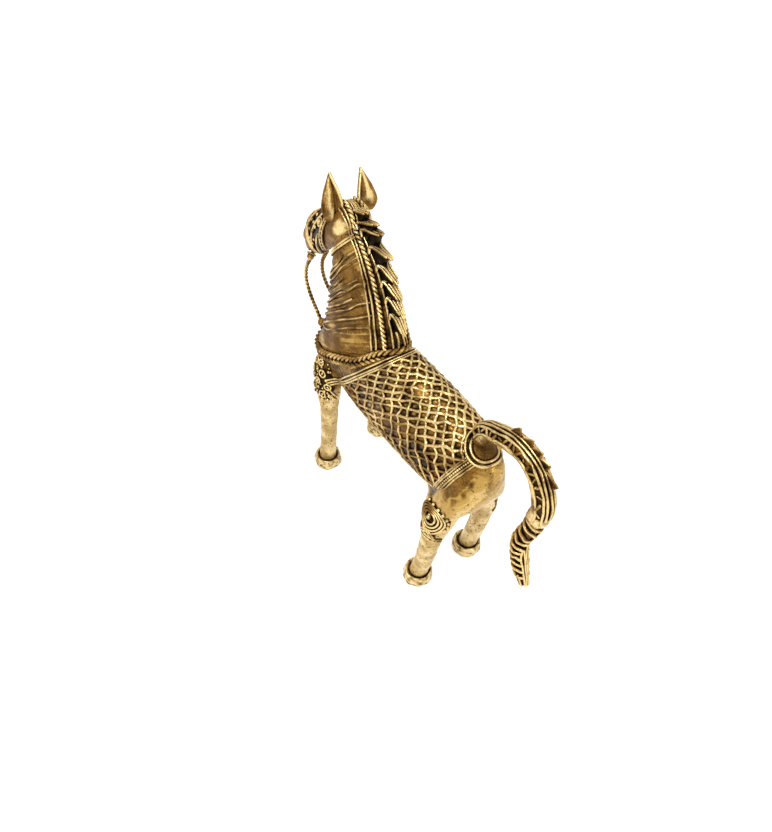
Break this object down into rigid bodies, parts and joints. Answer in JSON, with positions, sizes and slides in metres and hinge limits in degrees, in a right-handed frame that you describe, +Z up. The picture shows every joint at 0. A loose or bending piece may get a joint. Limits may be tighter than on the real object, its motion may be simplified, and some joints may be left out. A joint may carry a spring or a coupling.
{
  "type": "horse figurine",
  "caption": "Standing brass horse ornament with arched tail, diamond-lattice blanket, twisted-rope collar and reins, made in the lost-wax thread-work tradition.",
  "frame": {"origin": "on the ground, under the middle of the overall length and width", "axes": "+X towards the head, +Y to the horse's left, +Z up"},
  "size_m": [0.1988, 0.0594, 0.1895],
  "materials": {
    "body_brass": "brown patina, matte",
    "leg_brass": "pale, pitted as cast",
    "trim_brass": "rubbed bright on the crests, black in the recesses",
    "core_clay": "fired clay, rough"
  },
  "bodies": {
    "root": {"barrel_shell": "body_brass", "neck_shell": "body_brass", "clay_core": "core_clay", "head": "trim_brass", "left_ear": "trim_brass", "right_ear": "trim_brass", "left_fore_leg": "leg_brass", "right_fore_leg": "leg_brass", "left_hind_leg": "leg_brass", "right_hind_leg": "leg_brass", "left_fore_hoof": "leg_brass", "right_fore_hoof": "leg_brass", "left_hind_hoof": "leg_brass", "right_hind_hoof": "leg_brass", "tail": "body_brass", "tail_fin_ridge": "trim_brass", "left_tail_cord": "trim_brass", "right_tail_cord": "trim_brass", "tail_winding": "trim_brass", "crupper_ring_outer": "trim_brass", "crupper_ring_inner": "trim_brass", "blanket_lattice": "trim_brass", "blanket_front_band": "trim_brass", "blanket_rear_band": "trim_brass", "left_blanket_hem": "trim_brass", "right_blanket_hem": "trim_brass", "collar_rope_upper": "trim_brass", "collar_rope_lower": "trim_brass", "left_mane_rope": "trim_brass", "right_mane_rope": "trim_brass", "left_mane_thread": "trim_brass", "right_mane_thread": "trim_brass", "mane_lock_1": "trim_brass", "mane_lock_2": "trim_brass", "mane_lock_3": "trim_brass", "mane_lock_4": "trim_brass", "mane_lock_5": "trim_brass", "mane_lock_6": "trim_brass", "mane_lock_7": "trim_brass", "neck_band_1": "trim_brass", "neck_band_2": "trim_brass", "neck_band_3": "trim_brass", "neck_band_4": "trim_brass", "throat_strap": "trim_brass", "noseband": "trim_brass", "left_cheek_strap": "trim_brass", "right_cheek_strap": "trim_brass", "left_bit_boss": "trim_brass", "right_bit_boss": "trim_brass", "left_rein_boss": "trim_brass", "right_rein_boss": "trim_brass", "left_rein": "trim_brass", "right_rein": "trim_brass", "left_shoulder_rosette": "trim_brass", "right_shoulder_rosette": "trim_brass", "left_hip_rosette": "trim_brass", "right_hip_rosette": "trim_brass", "left_garter": "trim_brass", "right_garter": "trim_brass"}
  },
  "joints": []
}
